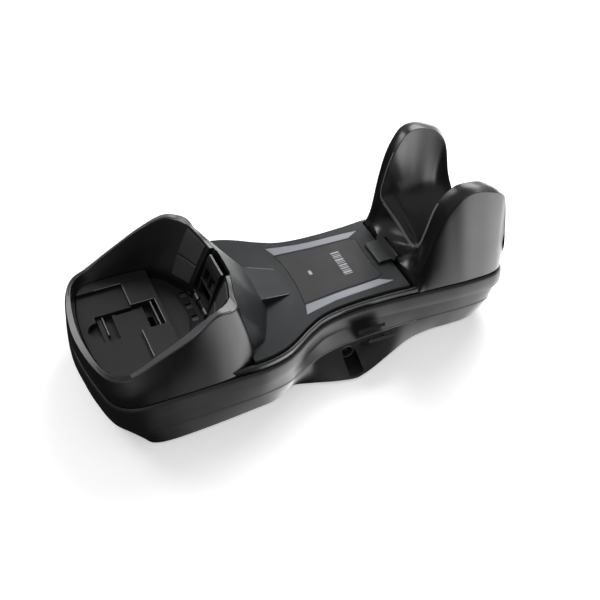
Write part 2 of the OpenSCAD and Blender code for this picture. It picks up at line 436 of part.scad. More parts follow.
// ---- electronics ------------------------------------------------------------------
module contact_board() color([0.05, 0.3, 0.15]) at() difference() {
  translate([-68, -24, 22.3]) cube([22, 48, 1.6]);
  for (p = board_c) translate([p[0], p[1], 20]) cylinder(h = 6, r = 1.3, $fn = 32);
}
module contact_screws() color([0.7, 0.7, 0.72]) at() for (p = board_c) translate([p[0], p[1], 0]) {
  translate([0, 0, 15]) cylinder(h = 9, r = 1, $fn = 32);
  translate([0, 0, 23.95]) cylinder(h = 1.3, r = 2.2, $fn = 32);
}
module main_board() color([0.05, 0.3, 0.15]) at() difference() {
  translate([-20, -25, 12.8]) cube([76, 50, 1.6]);
  for (p = board_pts) translate([p[0], p[1], 12]) cylinder(h = 4, r = 1.3, $fn = 32);
}
module board_screws() color([0.7, 0.7, 0.72]) at() for (p = board_pts) translate([p[0], p[1], 0]) {
  translate([0, 0, 7]) cylinder(h = 7.6, r = 1, $fn = 32);
  translate([0, 0, 14.5]) cylinder(h = 1.4, r = 2.2, $fn = 32);
}
module radio_module() color([0.75, 0.75, 0.77]) at() difference() {
  translate([22, -9, 14.45]) cube([24, 18, 2.8]);
  for (i = [0:4]) for (j = [0:2]) translate([26 + i * 4, -5 + j * 5, 16.4]) cylinder(h = 2, r = 0.6, $fn = 24);
}
module processor() color([0.08, 0.08, 0.08]) at() translate([4, -5, 14.45]) cube([10, 10, 1.2]);
module capacitors() color([0.2, 0.22, 0.3]) at() for (p = [[-4, 16], [4, 16], [30, 17]])
  translate([p[0], p[1], 14.45]) cylinder(h = 9, r = 3.1, $fn = 48);
module indicator_leds() color([0.9, 0.9, 0.7]) at() for (x = [8, 36]) for (s = [-1, 1])
  translate([x - 1.6, s * 22.8 - 1, 14.45]) cube([3.2, 2, 1.4]);
module antenna() color([0.85, 0.7, 0.35]) at() translate([50.5, -8, 14.45]) difference() {
  cube([4.5, 16, 0.8]);
  for (k = [0:3]) translate([k % 2 == 0 ? 1 : -1, 1.6 + k * 3.6, -1]) cube([4.5, 1.6, 3]);
}
module power_jack() color([0.08, 0.08, 0.08]) at() {
  difference() {
    union() {
      translate([dc_x, -24.4, dc_z]) rotate([90, 0, 0]) cylinder(h = 12.6, r = 3.9, $fn = 48);
      translate([dc_x - 4.2, -31.6, dc_z - 3.6]) cube([8.4, 9.4, 8.9]);
    }
    translate([dc_x, -26, dc_z]) rotate([90, 0, 0]) cylinder(h = 20, r = dc_r, $fn = 48);
  }
  translate([dc_x, -25.5, dc_z]) rotate([90, 0, 0]) cylinder(h = 10.5, r = 1, $fn = 32);
}
module data_jack() color([0.1, 0.1, 0.1]) at() difference() {
  translate([9.6, 23.4, 3.4]) cube([13.8, 17.6, 9.2]);
  translate([10.9, 27, 4.6]) cube([11.2, 16, 5.4]);
  translate([13.5, 27, 9.8]) cube([6, 16, 1.8]);
}
module ribbon_cable() color([0.75, 0.75, 0.74]) at() translate([0, 6, 0]) rotate([90, 0, 0])
  linear_extrude(12) polygon([[-49,26.45],[-44,26.5],[-38,26.2],[-31,23.6],[-25.5,19.4],[-20.4,17.3],[-16.3,17.1],
    [-16.3,16.3],[-20.6,16.5],[-26,18.6],[-31.5,22.8],[-38,25.4],[-44,25.7],[-49,25.65]]);
module ribbon_headers() color([0.85, 0.84, 0.8]) at() {
  translate([-52, -7, 23.95]) difference() { cube([5, 14, 3.2]); translate([2.6, 0.8, 1.6]) cube([3, 12.4, 1.1]); }
  translate([-18.6, -7, 14.45]) difference() { cube([5, 14, 3.6]); translate([-1, 0.8, 1.6]) cube([3.6, 12.4, 1.4]); }
}

// ---- service cover, fasteners, feet ---------------------------------------------
module on_slope() translate([0, -36.6, 11.6]) rotate([-46, 0, 0]) children();
module port_cover() color([0.07, 0.07, 0.08]) at() on_slope() difference() {
  translate([23.6, -12.8, -2.1]) cube([16.2, 12.2, 1.4]);
  for (x = [27.4, 36]) translate([x, -6.6, -3]) cylinder(h = 6, r = 1.1, $fn = 32);
}
module port_cover_screws() color([0.55, 0.55, 0.57]) at() on_slope() for (x = [27.4, 36]) translate([x, -6.6, 0]) {
  translate([0, 0, -2.1]) cylinder(h = 1.6, r = 1, $fn = 32);
  translate([0, 0, -0.65]) cylinder(h = 0.7, r = 1.6, $fn = 32);
}
module case_screws() color([0.7, 0.7, 0.72]) at() for (p = case_pts) translate([p[0], p[1], 0]) difference() {
  union() {
    translate([0, 0, 10.4]) cylinder(h = 2.6, r = 2.9, $fn = 48);
    translate([0, 0, 12.9]) cylinder(h = 16, r = 1.5, $fn = 48);
  }
  translate([0, 0, 9]) cylinder(h = 2.9, r = 1.3, $fn = 6);
}
module rubber_feet() color([0.12, 0.12, 0.12]) at() for (p = feet_pts) translate([p[0], p[1], 0])
  cylinder(h = floor_z + 0.8, r = 6, $fn = 48);

lower_body();
upper_body();
top_cover();
cup_floor();
label_panel();
light_bar_left();
light_bar_right();
lock_tab();
tab_retainer();
floor_slider();
latch_lever();
latch_pin();
latch_spring();
contact_block();
contact_pad_1();
contact_pad_2();
contact_pad_3();
contact_pad_4();
contact_spring_1();
contact_spring_2();
contact_spring_3();
contact_spring_4();
contact_board();
main_board();
radio_module();
processor();
capacitors();
indicator_leds();
power_jack();
data_jack();
ribbon_cable();
ribbon_headers();
antenna();
port_cover();
port_cover_screws();
case_screws();
board_screws();
contact_screws();
rubber_feet();
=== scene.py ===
import math

import bmesh
import bpy
import numpy as np
from mathutils import Matrix, Vector


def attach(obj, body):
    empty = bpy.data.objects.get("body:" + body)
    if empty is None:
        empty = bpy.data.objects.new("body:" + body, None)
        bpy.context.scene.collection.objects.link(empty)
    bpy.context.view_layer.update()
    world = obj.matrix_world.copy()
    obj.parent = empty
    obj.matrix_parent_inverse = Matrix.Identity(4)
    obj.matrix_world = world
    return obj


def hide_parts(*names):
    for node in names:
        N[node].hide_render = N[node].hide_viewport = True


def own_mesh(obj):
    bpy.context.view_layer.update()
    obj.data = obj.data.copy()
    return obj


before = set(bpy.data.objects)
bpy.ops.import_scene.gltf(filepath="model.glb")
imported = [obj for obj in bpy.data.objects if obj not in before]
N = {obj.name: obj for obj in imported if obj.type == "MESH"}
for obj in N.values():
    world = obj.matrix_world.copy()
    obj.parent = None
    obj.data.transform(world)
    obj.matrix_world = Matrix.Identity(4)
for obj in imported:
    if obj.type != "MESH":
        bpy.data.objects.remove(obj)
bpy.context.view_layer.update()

MM = 0.001
OX = 3.4


# ---------------------------------------------------------------- curve helpers
def A(rows):
    return np.array(rows, float)


def cr(a, b, c, d, t):
    return 0.5 * (2 * b + (c - a) * t + (2 * a - 5 * b + 4 * c - d) * t * t + (3 * b - a - 3 * c + d) * t ** 3)


def ring(half, n):
    """Closed smooth ring through a half outline and its mirror image."""
    h = A(half).copy()
    h[0, 1] = 0
    h[-1, 1] = 0
    full = np.vstack([h, [[p[0], -p[1], p[2]] for p in h[-2:0:-1]]])
    m = len(full)
    out = []
    for i in range(m):
        for k in range(n):
            out.append(cr(full[i - 1], full[i], full[(i + 1) % m], full[(i + 2) % m], k / n))
    return A(out)


def normals2(L):
    d = np.roll(L, -1, 0) - np.roll(L, 1, 0)
    m = np.maximum(np.hypot(d[:, 0], d[:, 1]), 1e-9)
    return np.stack([-d[:, 1] / m, d[:, 0] / m, np.zeros(len(L))], 1)


def off(L, d):
    return L + d * normals2(L)


def atz(L, z):
    M = L.copy()
    M[:, 2] = z
    return M


def crease(Apt, R, B, r, k=4):
    """Rows that round the edge R between rows Apt and B."""
    da = Apt - R
    db = B - R
    la = np.maximum(np.linalg.norm(da, axis=1, keepdims=True), 1e-9)
    lb = np.maximum(np.linalg.norm(db, axis=1, keepdims=True), 1e-9)
    p = R + da / la * np.minimum(r, la * 0.45)
    q = R + db / lb * np.minimum(r, lb * 0.45)
    return [(1 - t) ** 2 * p + 2 * t * (1 - t) * R + t * t * q for t in np.linspace(0, 1, k)]


def rows_through(rows, radii, sub=4):
    """rows: control rings. radii: edge radius at a row, or None where the surface is smooth there."""
    segs, cur = [], [0]
    for i in range(1, len(rows)):
        cur.append(i)
        if radii[i] is not None or i == len(rows) - 1:
            segs.append(cur)
            cur = [i]
    dense = []
    for s in segs:
        out = [rows[s[0]]]
        for j in range(len(s) - 1):
            b, c = rows[s[j]], rows[s[j + 1]]
            a = rows[s[j - 1]] if j > 0 else b
            d = rows[s[j + 2]] if j + 2 < len(s) else c
            for k in range(1, sub + 1):
                out.append(cr(a, b, c, d, k / sub))
        dense.append(out)
    final = list(dense[0][:-1])
    for i in range(len(dense) - 1):
        edge = segs[i][-1]
        final += crease(dense[i][-2], rows[edge], dense[i + 1][1], radii[edge])
        final += dense[i + 1][1:-1]
    final.append(dense[-1][-1])
    return final


def new_obj(name, verts, faces, mat=None, body="housing", slot=None, replaces=()):
    me = bpy.data.meshes.new(name)
    v = [((p[0] + OX) * MM, p[1] * MM, p[2] * MM) for p in verts]
    me.from_pydata(v, [], faces)
    me.validate()
    me.update()
    bm = bmesh.new()
    bm.from_mesh(me)
    bmesh.ops.recalc_face_normals(bm, faces=bm.faces)
    bm.to_mesh(me)
    bm.free()
    o = bpy.data.objects.new(name, me)
    bpy.context.scene.collection.objects.link(o)
    if mat:
        me.materials.append(mat)
    return o


def grid_closed(rows, torus=False, caps=(False, False)):
    n = len(rows[0])
    m = len(rows)
    verts = np.vstack(rows)
    faces = []
    for j in range(m if torus else m - 1):
        j2 = (j + 1) % m
        for i in range(n):
            i2 = (i + 1) % n
            faces.append((j * n + i, j * n + i2, j2 * n + i2, j2 * n + i))
    if caps[0]:
        faces.append(tuple(range(n)))
    if caps[1]:
        faces.append(tuple((m - 1) * n + i for i in range(n)))
    return verts, faces


def grid_open(rows):
    n = len(rows[0])
    m = len(rows)
    verts = np.vstack(rows)
    faces = [(j * n + i, j * n + i + 1, (j + 1) * n + i + 1, (j + 1) * n + i) for j in range(m - 1) for i in range(n - 1)]
    return verts, faces


def prism(outline, z0, z1):
    n = len(outline)
    v = [(p[0], p[1], z0) for p in outline] + [(p[0], p[1], z1) for p in outline]
    f = [tuple(range(n - 1, -1, -1)), tuple(range(n, 2 * n))]
    f += [(i, (i + 1) % n, n + (i + 1) % n, n + i) for i in range(n)]
    return v, f


def box_vf(lo, hi):
    return prism([(lo[0], lo[1]), (hi[0], lo[1]), (hi[0], hi[1]), (lo[0], hi[1])], lo[2], hi[2])


def cyl_vf(c, axis, r0, h, n=48, r1=None):
    """Cylinder from c along axis for h."""
    r1 = r0 if r1 is None else r1
    ax = Vector(axis).normalized()
    u = ax.orthogonal().normalized()
    w = ax.cross(u)
    v = []
    for (base, r) in ((0, r0), (h, r1)):
        for k in range(n):
            a = 2 * math.pi * k / n
            v.append(tuple(Vector(c) + ax * base + (u * math.cos(a) + w * math.sin(a)) * r))
    f = [tuple(range(n - 1, -1, -1)), tuple(range(n, 2 * n))]
    f += [(i, (i + 1) % n, n + (i + 1) % n, n + i) for i in range(n)]
    return v, f


def apply_mods(o):
    dg = bpy.context.evaluated_depsgraph_get()
    me = bpy.data.meshes.new_from_object(o.evaluated_get(dg))
    o.modifiers.clear()
    o.data = me


def cut(o, tools, op="DIFFERENCE"):
    """Cuts the list of (verts, faces) from o, one by one."""
    for v, f in tools:
        t = new_obj("cutter", v, f)
        m = o.modifiers.new("cut", "BOOLEAN")
        m.operation = op
        m.solver = "EXACT"
        m.object = t
        apply_mods(o)
        bpy.data.objects.remove(t)
    return o


def shade(o, angle=35):
    me = o.data
    for p in me.polygons:
        p.use_smooth = True
    bm = bmesh.new()
    bm.from_mesh(me)
    for e in bm.edges:
        if len(e.link_faces) == 2:
            e.smooth = e.calc_face_angle(0) < math.radians(angle)
        else:
            e.smooth = False
    bm.to_mesh(me)
    bm.free()


def bevel_mesh(o, width=0.3, angle=30, segs=2, limit=True):
    """Rounds every sharp edge of a clean mesh."""
    bm = bmesh.new()
    bm.from_mesh(o.data)
    bmesh.ops.remove_doubles(bm, verts=bm.verts, dist=0.00001)
    if limit:
        bmesh.ops.dissolve_limit(bm, angle_limit=math.radians(0.6), verts=bm.verts, edges=bm.edges)
    es = [e for e in bm.edges if len(e.link_faces) == 2 and e.calc_face_angle(0) > math.radians(angle)]
    if es:
        bmesh.ops.bevel(bm, geom=es, offset=width * MM, offset_type="OFFSET", segments=segs, profile=0.5,
                        affect="EDGES", clamp_overlap=True)
    bmesh.ops.recalc_face_normals(bm, faces=bm.faces)
    bm.to_mesh(o.data)
    bm.free()


def refined(node, mat, body, width=0.25, name=None, angle=30, segs=2):
    """A finished copy of a CAD node with its edges rounded."""
    src = N[node]
    me = src.data.copy()
    o = bpy.data.objects.new(name or node + "_finished", me)
    bpy.context.scene.collection.objects.link(o)
    me.materials.clear()
    me.materials.append(mat)
    bevel_mesh(o, width, angle, segs)
    shade(o, 50)
    wn = o.modifiers.new("weighted", "WEIGHTED_NORMAL")
    wn.keep_sharp = True
    wn.weight = 100
    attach(o, body)
    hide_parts(node)
    return o


# ---------------------------------------------------------------- materials
def srgb(v):
    v = v / 255.0
    return v / 12.92 if v <= 0.04045 else ((v + 0.055) / 1.055) ** 2.4


def col(r, g, b):
    return (srgb(r), srgb(g), srgb(b), 1.0)


def material(name, c1, c2, rough=(0.35, 0.5), grain=900.0, bump=0.05, dist=0.0001, metal=0.0, spec=0.5,
             coat=0.0, edge_glint=0.0, blotch=40.0, voronoi=False, aniso=None, sub=0.0):
    m = bpy.data.materials.new(name)
    m.use_nodes = True
    nt = m.node_tree
    b = nt.nodes["Principled BSDF"]
    b.inputs["Metallic"].default_value = metal
    b.inputs["Specular IOR Level"].default_value = spec
    b.inputs["Coat Weight"].default_value = coat
    b.inputs["Coat Roughness"].default_value = 0.12
    if sub:
        b.inputs["Subsurface Weight"].default_value = sub
        b.inputs["Subsurface Scale"].default_value = 0.002
    tc = nt.nodes.new("ShaderNodeTexCoord")
    big = nt.nodes.new("ShaderNodeTexNoise")
    big.inputs["Scale"].default_value = blotch
    big.inputs["Detail"].default_value = 5.0
    big.inputs["Roughness"].default_value = 0.6
    nt.links.new(tc.outputs["Object"], big.inputs["Vector"])
    mix = nt.nodes.new("ShaderNodeMix")
    mix.data_type = "RGBA"
    mix.inputs[6].default_value = c1
    mix.inputs[7].default_value = c2
    nt.links.new(big.outputs["Fac"], mix.inputs[0])
    out_col = mix.outputs[2]
    # painted highlight: edges with high pointiness are made lighter, standing for light caught on the edges
    if edge_glint:
        geo = nt.nodes.new("ShaderNodeNewGeometry")
        ramp = nt.nodes.new("ShaderNodeValToRGB")
        ramp.color_ramp.elements[0].position = 0.52
        ramp.color_ramp.elements[0].color = (0, 0, 0, 1)
        ramp.color_ramp.elements[1].position = 0.60
        ramp.color_ramp.elements[1].color = (edge_glint, edge_glint, edge_glint, 1)
        nt.links.new(geo.outputs["Pointiness"], ramp.inputs[0])
        mix2 = nt.nodes.new("ShaderNodeMix")
        mix2.data_type = "RGBA"
        mix2.inputs[7].default_value = tuple(min(1.0, x * 2.6 + 0.05) for x in c2[:3]) + (1.0,)
        nt.links.new(ramp.outputs[0], mix2.inputs[0])
        nt.links.new(out_col, mix2.inputs[6])
        out_col = mix2.outputs[2]
    nt.links.new(out_col, b.inputs["Base Color"])
    fine = nt.nodes.new("ShaderNodeTexVoronoi" if voronoi else "ShaderNodeTexNoise")
    fine.inputs["Scale"].default_value = grain
    if not voronoi:
        fine.inputs["Detail"].default_value = 3.0
    vec = tc.outputs["Object"]
    if aniso:
        mp = nt.nodes.new("ShaderNodeMapping")
        mp.inputs["Scale"].default_value = aniso
        nt.links.new(vec, mp.inputs["Vector"])
        vec = mp.outputs["Vector"]
    nt.links.new(vec, fine.inputs["Vector"])
    fout = fine.outputs["Distance" if voronoi else "Fac"]
    mr = nt.nodes.new("ShaderNodeMapRange")
    mr.inputs["From Min"].default_value = 0.3
    mr.inputs["From Max"].default_value = 0.7
    mr.inputs["To Min"].default_value = rough[0]
    mr.inputs["To Max"].default_value = rough[1]
    nt.links.new(big.outputs["Fac"], mr.inputs["Value"])
    nt.links.new(mr.outputs["Result"], b.inputs["Roughness"])
    bp = nt.nodes.new("ShaderNodeBump")
    bp.inputs["Strength"].default_value = bump
    bp.inputs["Distance"].default_value = dist
    nt.links.new(fout, bp.inputs["Height"])
    nt.links.new(bp.outputs["Normal"], b.inputs["Normal"])
    return m


M_lower = material("lower_moulding", col(15, 15, 17), col(19, 19, 22), (0.34, 0.46), 1400, 0.10, 0.00012, edge_glint=0.1)
M_upper = material("upper_moulding", col(12, 12, 14), col(16, 16, 18), (0.27, 0.36), 1800, 0.045, 0.0001, edge_glint=0.12, spec=0.55)
M_cover = material("cover_moulding", col(24, 27, 29), col(30, 33, 35), (0.5, 0.62), 2600, 0.30, 0.00012, voronoi=True, spec=0.28)
M_floor = material("floor_moulding", col(14, 14, 16), col(20, 20, 23), (0.44, 0.56), 2600, 0.30, 0.00012, voronoi=True, spec=0.3)
M_label = material("label_film", col(21, 20, 21), col(26, 25, 26), (0.45, 0.55), 3200, 0.12, 0.00006, spec=0.28)
M_bar = material("light_guide", col(106, 108, 118), col(124, 126, 136), (0.3, 0.42), 1200, 0.05, 0.00005, sub=0.1)
M_tab = material("tab_moulding", col(26, 27, 29), col(33, 34, 36), (0.42, 0.52), 2400, 0.2, 0.0001, spec=0.35)
M_latch = material("latch_moulding", col(17, 17, 19), col(26, 26, 28), (0.3, 0.42), 1600, 0.06, 0.0001)
# painted highlight: this light grey stands for light caught on the rim top, the skirt edge and the socket rim
M_painted_highlight = material("rim_painted_highlight", col(72, 72, 76), col(86, 86, 90), (0.32, 0.42), 2000, 0.08, 0.0001)
# painted reflection: this lighter grey stands for light reflected on the rear wall of the cup
M_painted_wall_sheen = material("painted_wall_sheen", col(44, 44, 46), col(54, 54, 56), (0.4, 0.52), 2000, 0.12, 0.0001)
# painted highlight: this light grey stands for light caught on thin edges
M_painted_edge_highlight = material("painted_edge_highlight", col(92, 94, 97), col(108, 110, 113), (0.3, 0.4), 2000, 0.08, 0.0001)
M_dark_steel = material("darkened_steel", col(52, 52, 55), col(66, 66, 70), (0.35, 0.48), 900, 0.1, 0.00005, metal=1.0)
M_pale = material("pale_bar", col(140, 140, 142), col(158, 158, 160), (0.35, 0.48), 1600, 0.08, 0.0001)
M_steel = material("turned_steel", col(180, 181, 184), col(205, 206, 208), (0.22, 0.36), 700, 0.12, 0.00005, metal=1.0, aniso=(1, 1, 14))
M_contact = material("contact_plating", col(96, 94, 90), col(116, 113, 107), (0.34, 0.46), 1200, 0.1, 0.00004, metal=1.0)
M_black = material("black_moulding", col(22, 22, 25), col(32, 32, 36), (0.42, 0.55), 1500, 0.1, 0.0001, edge_glint=0.2)
M_board = material("solder_mask", col(14, 84, 48), col(22, 100, 58), (0.3, 0.45), 900, 0.08, 0.00005)
M_can = material("can_sleeve", col(40, 44, 80), col(56, 60, 100), (0.3, 0.42), 900, 0.06, 0.00005)
M_led = material("lamp_epoxy", col(225, 222, 190), col(238, 236, 210), (0.15, 0.25), 900, 0.04, 0.00004, sub=0.2)
M_ribbon = material("ribbon_film", col(205, 204, 200), col(222, 221, 217), (0.35, 0.5), 60, 0.4, 0.0002, aniso=(0.02, 30, 0.02))
M_header = material("nylon_header", col(222, 216, 200), col(234, 230, 216), (0.4, 0.52), 1200, 0.08, 0.00006)
M_ant = material("etched_trace", col(214, 170, 96), col(232, 190, 116), (0.25, 0.4), 1500, 0.1, 0.00004, metal=1.0)
M_rubber = material("foot_rubber", col(26, 26, 26), col(38, 38, 38), (0.7, 0.85), 1800, 0.3, 0.00015)
M_mark = material("mark_ink", col(150, 152, 158), col(166, 168, 172), (0.4, 0.5), 2600, 0.1, 0.00004)

# ---------------------------------------------------------------- control outlines (mm, half, cup to saddle)
seam_h = [[-125.4,0,0],[-124.6,12,0],[-123,23,0],[-120.8,34,0],[-118.4,42,0],[-113.8,48.2,0],
  [-106,52,0],[-92,52.8,0],[-70,52.8,0],[-48,53,0],[-36,52.6,0],[-25.5,50.2,0],[-17,46,0],
  [-9.9,41.4,0],[-4,38,0],[2,35.2,0],[11,33.2,0],[25,32.2,0],[42,32.4,0],[56,33.4,0],
  [70,34.6,0],[88,36,0],[102,36,0],[109.4,34.4,0],[114.2,29.5,0],[117.2,18,0],[118.6,0,0]]
skirt_h = [[-124.2,0,0],[-123.4,12,0],[-121.6,23,0],[-119.2,33.6,0],[-116.2,41.2,0],[-111.2,47.2,0],
  [-104.6,51.4,0],[-92,52.6,0],[-70,52.4,0],[-48,52,0],[-36,51.2,0],[-25,49.2,0],[-17,45.4,0],
  [-8.5,41.4,0],[-2,38.8,0],[5,37,0],[13,35.8,0],[27,34.8,0],[42,34.4,0],[56,34.2,0],
  [70,35,0],[88,35.9,0],[100.5,35.6,0],[106.6,33.4,0],[110,27.6,0],[112,16.5,0],[112.8,0,0]]
foot_h = [[-120.6,0,0],[-119.8,12,0],[-117.8,22,0],[-114.6,31,0],[-111,37.4,0],[-105,46.4,0],
  [-101,51.2,0],[-91,53,0],[-70,52.5,0],[-48,51,0],[-34,49.6,0],[-25.5,46,0],[-20,43.4,0],
  [-9,46.4,0],[2,50,0],[12.7,52.4,0],[19,51.4,0],[27,48.6,0],[40,43,0],[54,37.4,0],
  [68,35.3,0],[82,35.7,0],[92.4,35.4,0],[100.2,32.6,0],[103.7,26,0],[105.2,14,0],[105.6,0,0]]
cup_base = [[-125.4,0,0],[-124.6,12,0],[-123,23,0],[-120.8,34,0],[-118.4,42,0],[-113.8,48.2,0],
  [-106,52,0],[-92,52.8,0],[-74,52.8,0],[-60,52.4,0],[-49,50.4,0],[-41,45.4,0],[-46,33,0],[-53,13.5,0],[-53,0,0]]
cup_mid = [[-125.8,0,37],[-125,12,37],[-123.4,22.8,37],[-121.1,33.4,37],[-118.2,41,37.2],[-113.4,46.6,37.6],
  [-105.6,50,39],[-92,50.2,42],[-74,50,46],[-60,49,49],[-49.5,46.6,50],[-43.6,41.6,50],[-46.4,33,50],[-48.4,13.5,50],[-48,0,50]]
rim_out = [[-124.8,0,43.4],[-124,12,43.4],[-122.3,22.6,43.4],[-119.6,32.6,43.4],[-116.6,38.8,43.6],[-112.2,43,44],
  [-104.5,45,45.6],[-92,45.6,52],[-74,46.3,61.2],[-60,44,68.6],[-51,42,67.2],[-47,37.6,66],[-45.6,29,65],[-41.8,13.5,63.6],[-41,0,63.4]]
rim_in = [[-121.5,0,44.6],[-121,11,44.6],[-119.6,21.6,44.6],[-117.4,31.4,44.6],[-114.8,36.4,44.9],[-110.4,40,45.3],
  [-104.5,42,46.6],[-91.5,42.8,54.2],[-74,42.6,63.6],[-61,40.6,68.8],[-54.4,37.2,68.4],[-50.2,33,67.4],[-47.9,28.5,66.8],[-44.1,13.5,64.2],[-43.3,0,63.8]]
cup_in = [[-120.8,0,41],[-120.3,10.8,41],[-118.9,21,41],[-116.6,30.6,41],[-113.8,35.4,41],[-109.6,38.6,41.4],
  [-103.6,39.6,42],[-91.5,39.8,46],[-76,39.4,50],[-66.5,37.2,51.5],[-61.4,34.4,51.5],[-58.4,31.2,51.5],[-56,27,51.5],[-50.8,13.5,51.2],[-50.2,0,51]]
cup_low = [[-119.8,0,0],[-119.3,10.5,0],[-118,20.4,0],[-115.6,29.8,0],[-112.8,34.4,0],[-108.8,37.2,0],
  [-103,38,0],[-91.5,38,0],[-79,37.4,0],[-72,35.6,0],[-67.6,32.6,0],[-65,29.4,0],[-62,23.6,0],[-56.8,13.5,0],[-56,0,0]]
y_base = [[56.4,0,0],[56.4,12,0],[56.4,22,0],[56.8,29,0],[58.4,33.5,0],[64,34.1,0],[70,34.6,0],[76,35.1,0],[82,35.6,0],
  [88,36,0],[95,36.1,0],[102,36,0],[106.6,35.3,0],[110,34,0],[112.8,31.6,0],[115.2,27,0],[117.2,18,0],[118.6,0,0]]
y_out = [[58,0,38.4],[58,8,38.5],[58.2,15,38.8],[59.4,23.4,38.8],[60.6,29.6,39.4],[63.4,31.6,50],[66.4,33,63],[70.2,34.2,76],[74.4,35,85],
  [80.4,35.9,92.2],[88,36.1,93.8],[97,36,91],[104.6,35,86.8],[108.4,33.6,80],[111,33.4,62],[113.4,32,44],[117.2,20,36.4],[118.6,0,35.4]]
y_in = [[75.2,0,35],[73.2,4.6,39],[70.9,9.7,44.6],[68.4,14.4,49.6],[65.9,19,54.6],[63.9,22.8,58.8],[65.6,24,67],[69,24.2,79],[72.8,24.6,86.4],
  [79.6,26.2,93.8],[87.2,27.1,94.8],[95.4,26.6,92.4],[101.6,25.6,87.6],[105.2,24.2,79],[107,21.4,61],[109.4,14.4,47],[112.6,6.6,38.6],[114,0,35.4]]
y_fm = [[66.4,0,37.2],[65.6,6.6,38.7],[64.6,12.8,41.8],[63.3,20,45.6],[62.3,25.8,49.4],[64.6,28,58.8],[67.6,28.6,70.4],[71,29.2,81.4],[74.6,29.8,88.4],
  [80,31.2,93.8],[87.7,31.8,94.9],[96.4,31.4,92.2],[103.6,30.6,87.6],[107.4,29,79.8],[109.6,27.6,61.8],[111.8,23.6,45.6],[115.2,13.6,37.4],[116.6,0,35.6]]
y_mid = [[77,1.2,35],[75.6,4.4,38.2],[74,9.2,43.4],[72.6,13.8,48.4],[71.4,18.2,53.2],[70.8,21.8,57.2],[72,23.2,60],[75,23.6,61],[78,23.8,61],
  [82.4,24,61],[87,24,61],[92,23.8,61],[96.6,23.6,60],[100,23,58],[102.4,20.4,54],[105.4,14,46],[109.4,6.4,38.4],[112,1.2,35.2]]
y_mid2 = [[77.6,.9,34.7],[77,2.8,36.4],[76.4,5.6,39.4],[76,8.4,42.2],[75.6,11,44.8],[75.8,12.6,46.4],[76.8,13,46.8],[78.6,13.2,47],[80.8,13.3,47],
  [84,13.4,47],[87.6,13.4,47],[91.4,13.3,46.8],[95,13.2,46.6],[98,12.8,46],[100.8,11.4,44.2],[103.8,8,40.4],[107,3.6,36.6],[110,.9,35]]
y_low = [[77,.7,34.4],[77.6,1.4,34.4],[78.4,1.8,34.4],[79.2,2,34.4],[80,2,34.4],[81.4,2,34.4],[83,2,34.4],[84.6,2,34.4],[86.4,2,34.4],
  [88.4,2,34.4],[90.6,2,34.4],[93,2,34.4],[95.4,2,34.4],[98,2,34.4],[100.6,2,34.4],[103.4,2,34.4],[106.2,1.4,34.6],[108.6,.7,34.8]]

SEAM = 31.8
K = 8

# ---------------------------------------------------------------- lower housing
seam, skirt, foot = ring(seam_h, K), ring(skirt_h, K), ring(foot_h, K)
rows = rows_through(
    [atz(off(foot, -1.4), 0.8), atz(foot, 1.6), atz(off(skirt, 0.35), 11.6), atz(off(skirt, 0.1), 12.3),
     atz(off(seam, 0.1), 20.9), atz(off(seam, 1.15), 21.6), atz(off(seam, 1.4), 25), atz(off(seam, 1.0), 29.4),
     atz(off(seam, -0.1), 31.25), atz(off(seam, -2.2), 31.3), atz(off(seam, -2.4), 24)],
    [None, 0.6, 0.25, 0.2, 0.2, 0.5, None, None, 0.25, 0.3, None], 4)
inner = [atz(off(seam, -2.4), 21), atz(off(skirt, -2.8), 12), atz(off(foot, -4.2), 3.2)]
v, f = grid_closed(rows + inner, caps=(True, True))
lower = new_obj("lower_housing", v, f, M_lower)
bay_y, dc_x, dc_z = 37, 15, 7.4
lid = Matrix.Translation((0, -36.6, 11.6)) @ Matrix.Rotation(math.radians(-46), 4, "X")


def on_lid(vf):
    return [tuple(lid @ Vector(p)) for p in vf[0]], vf[1]


for s in (-1, 1):
    block = box_vf((6, bay_y - 2.2, 2.0), (43, 47, 12.5)) if s > 0 else box_vf((6, -47, 2.0), (43, -bay_y + 2.2, 12.5))
    t = new_obj("cutter", *block)
    outer = new_obj("cutter2", *grid_closed([r * [1, 1, 1] for r in
        [atz(off(foot, -3), 1.4), atz(off(foot, -0.6), 2.2), atz(off(skirt, -0.6), 11.4), atz(off(skirt, -1), 16)]], caps=(True, True)))
    m = t.modifiers.new("cut", "BOOLEAN"); m.operation = "INTERSECT"; m.solver = "EXACT"; m.object = outer
    apply_mods(t)
    m = lower.modifiers.new("cut", "BOOLEAN"); m.operation = "UNION"; m.solver = "EXACT"; m.object = t
    apply_mods(lower)
    bpy.data.objects.remove(t); bpy.data.objects.remove(outer)
cuts = [box_vf((dc_x - 4.4, -62, 2.4), (dc_x + 4.4, -bay_y, dc_z)),
        cyl_vf((dc_x, -62, dc_z), (0, 1, 0), 4.4, 62 - bay_y),
        cyl_vf((dc_x, -43, dc_z), (0, 1, 0), 3.95, 13),
        on_lid(box_vf((23.4, -13, -2.2), (40, -0.4, 5.8))),
        box_vf((33, -60, -1), (39.6, -45.6, 2.4)),
        box_vf((8.6, 41.2, -1), (24.6, 63.2, 14.2)),
        box_vf((9.4, 30, 3.2), (23.6, 50, 12.8))]
for p in ((-98, 43), (-98, -43), (-50, 44), (-50, -44), (92, 27), (92, -27)):
    cuts.append(cyl_vf((p[0], p[1], -1), (0, 0, 1), 3.3, 4.4))
for p in ((-75, 22), (-75, -22), (80, 22), (80, -22)):
    cuts.append(cyl_vf((p[0], p[1], -1), (0, 0, 1), 2.1, 5))
for p in ((-96, 30), (-96, -30), (-36, 34), (-36, -34), (94, 13), (94, -13)):
    cuts.append(cyl_vf((p[0], p[1], -0.2), (0, 0, 1), 6.2, 1.8))
cut(lower, cuts)
shade(lower, 28)
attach(lower, "housing"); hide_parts("lower_body")

